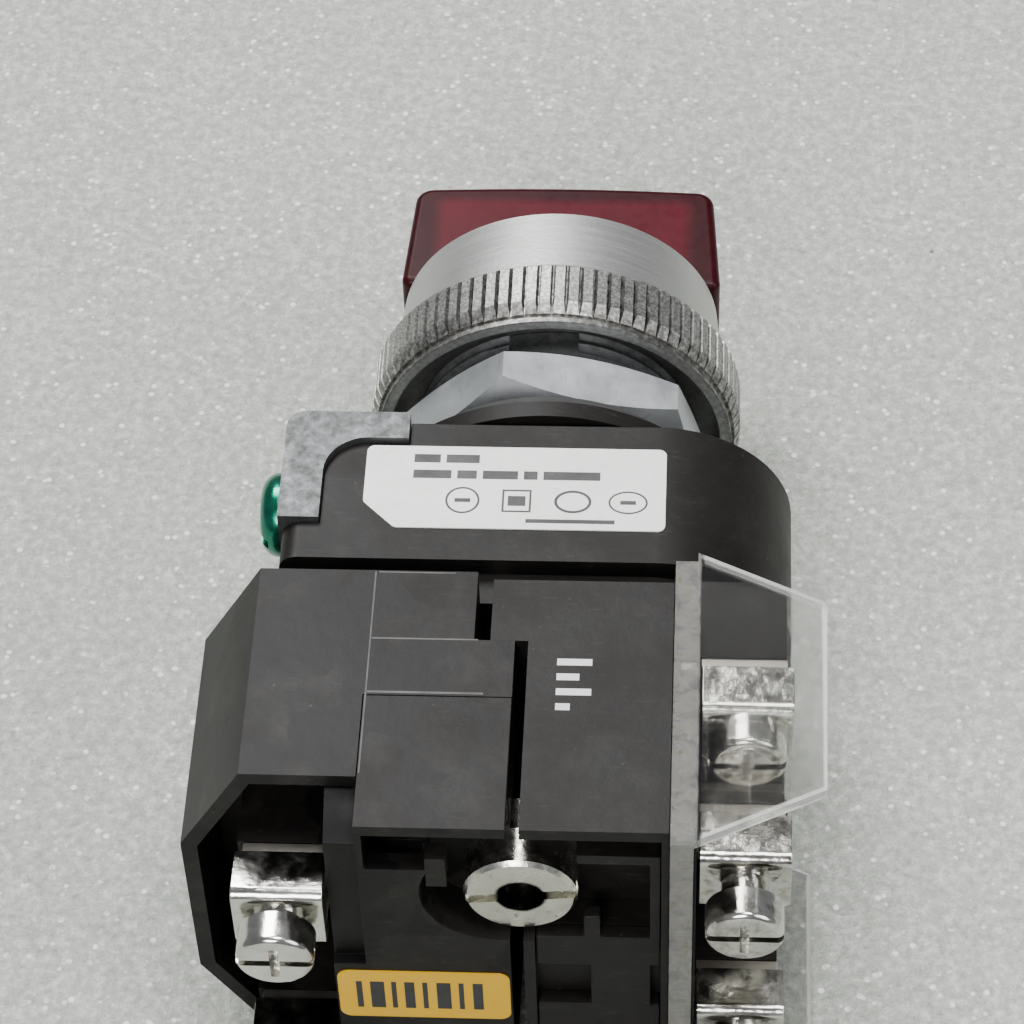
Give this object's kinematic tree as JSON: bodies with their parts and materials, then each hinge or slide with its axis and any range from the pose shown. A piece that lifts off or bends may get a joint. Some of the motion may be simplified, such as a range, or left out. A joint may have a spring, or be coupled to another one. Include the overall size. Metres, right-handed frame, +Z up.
{
  "type": "illuminated selector switch",
  "caption": "Panel-mounted illuminated selector switch with a red wing lever, knurled ring, hexagon nut, and contact blocks with screw terminals and a clear guard.",
  "frame": {"origin": "on the knob's axis in the plane of the panel's front face, where the knurled ring seats", "axes": "-Y towards the knob and the operator, +Y towards the contact blocks, +Z up"},
  "size_m": [0.0625, 0.1075, 0.0478],
  "materials": {
    "ring_aluminium": "satin turned aluminium with a worn knurl",
    "zinc": "mottled die-cast zinc",
    "nut_zinc": "machined zinc, pale",
    "black_rubber": "matt",
    "black_ring": "matt",
    "black_plastic": "matt moulded, dusty",
    "red_lens": "dark translucent red",
    "diffuser_white": "milky",
    "clear_plastic": "clear, slightly scratched",
    "label_white": "smooth",
    "label_yellow": "smooth",
    "bright_nickel": "bright nickel plate, slightly tarnished",
    "green_screw": "green anodised",
    "contact_copper": "plain copper alloy",
    "spring_steel": "drawn wire",
    "lamp": "smooth",
    "board_green": "lacquered",
    "beige_plastic": "moulded",
    "brass": "turned"
  },
  "bodies": {
    "switch": {"operator_base": "zinc", "mounting_ring": "ring_aluminium", "panel_gasket": "black_rubber", "thrust_washer": "black_ring", "front_spacer": "black_ring", "module_housing": "black_plastic", "label_plate": "label_white", "ground_screw": "green_screw", "lamp_socket": "beige_plastic", "led_lamp": "lamp", "circuit_board": "board_green", "screw_insert": "brass", "adapter_plate": "black_plastic", "left_case": "black_plastic", "left_cover": "black_plastic", "right_case": "black_plastic", "right_cover": "black_plastic", "marker_sticker": "label_yellow", "mounting_screw": "bright_nickel", "clear_guard": "clear_plastic", "strip_left_upper": "contact_copper", "strip_left_lower": "contact_copper", "strip_right_upper": "contact_copper", "strip_right_lower": "contact_copper", "strip_front_upper": "contact_copper", "strip_front_lower": "contact_copper"},
    "nut": {"hex_nut": "nut_zinc"},
    "knob": {"selector_knob": "red_lens", "lamp_diffuser": "diffuser_white", "rotor_cam": "beige_plastic", "rotor_seal": "black_rubber", "retaining_clip": "spring_steel"},
    "left_contact": {"left_carrier": "beige_plastic", "left_bridge": "contact_copper", "left_spring": "spring_steel"},
    "right_contact": {"right_carrier": "beige_plastic", "right_bridge": "contact_copper", "right_spring": "spring_steel"},
    "terminal_left_upper": {"clamp_left_upper": "bright_nickel", "screw_left_upper": "bright_nickel"},
    "terminal_left_lower": {"clamp_left_lower": "bright_nickel", "screw_left_lower": "bright_nickel"},
    "terminal_right_upper": {"clamp_right_upper": "bright_nickel", "screw_right_upper": "bright_nickel"},
    "terminal_right_lower": {"clamp_right_lower": "bright_nickel", "screw_right_lower": "bright_nickel"},
    "terminal_front_upper": {"clamp_front_upper": "bright_nickel", "screw_front_upper": "bright_nickel"},
    "terminal_front_lower": {"clamp_front_lower": "bright_nickel", "screw_front_lower": "bright_nickel"}
  },
  "joints": [
    {"name": "knob_turn", "type": "hinge", "parent": "switch", "child": "knob", "pos_m": [0, 0, 0], "axis": [0, 1, 0], "range_deg": [0, 90]},
    {"name": "nut_run", "type": "slide", "parent": "switch", "child": "nut", "axis": [0, -1, 0], "range_m": [0, 0.0018]},
    {"name": "left_contact_slide", "type": "slide", "parent": "switch", "child": "left_contact", "axis": [0, 1, 0], "range_m": [0, 0.0026], "deforming": ["left_spring"]},
    {"name": "right_contact_slide", "type": "slide", "parent": "switch", "child": "right_contact", "axis": [0, -1, 0], "range_m": [0, 0.0026], "deforming": ["right_spring"]},
    {"name": "terminal_left_upper_lift", "type": "slide", "parent": "switch", "child": "terminal_left_upper", "axis": [0, 1, 0], "range_m": [0, 0.002]},
    {"name": "terminal_left_lower_lift", "type": "slide", "parent": "switch", "child": "terminal_left_lower", "axis": [0, 1, 0], "range_m": [0, 0.002]},
    {"name": "terminal_right_upper_lift", "type": "slide", "parent": "switch", "child": "terminal_right_upper", "axis": [0, 1, 0], "range_m": [0, 0.002]},
    {"name": "terminal_right_lower_lift", "type": "slide", "parent": "switch", "child": "terminal_right_lower", "axis": [0, 1, 0], "range_m": [0, 0.002]},
    {"name": "terminal_front_upper_lift", "type": "slide", "parent": "switch", "child": "terminal_front_upper", "axis": [0, 1, 0], "range_m": [0, 0.002]},
    {"name": "terminal_front_lower_lift", "type": "slide", "parent": "switch", "child": "terminal_front_lower", "axis": [0, 1, 0], "range_m": [0, 0.002]}
  ],
  "couplings": [
    {"joint": "left_contact_slide", "follows": "knob_turn", "m_per_rad": 0.00159},
    {"joint": "right_contact_slide", "follows": "knob_turn", "m_per_rad": 0.00159}
  ]
}
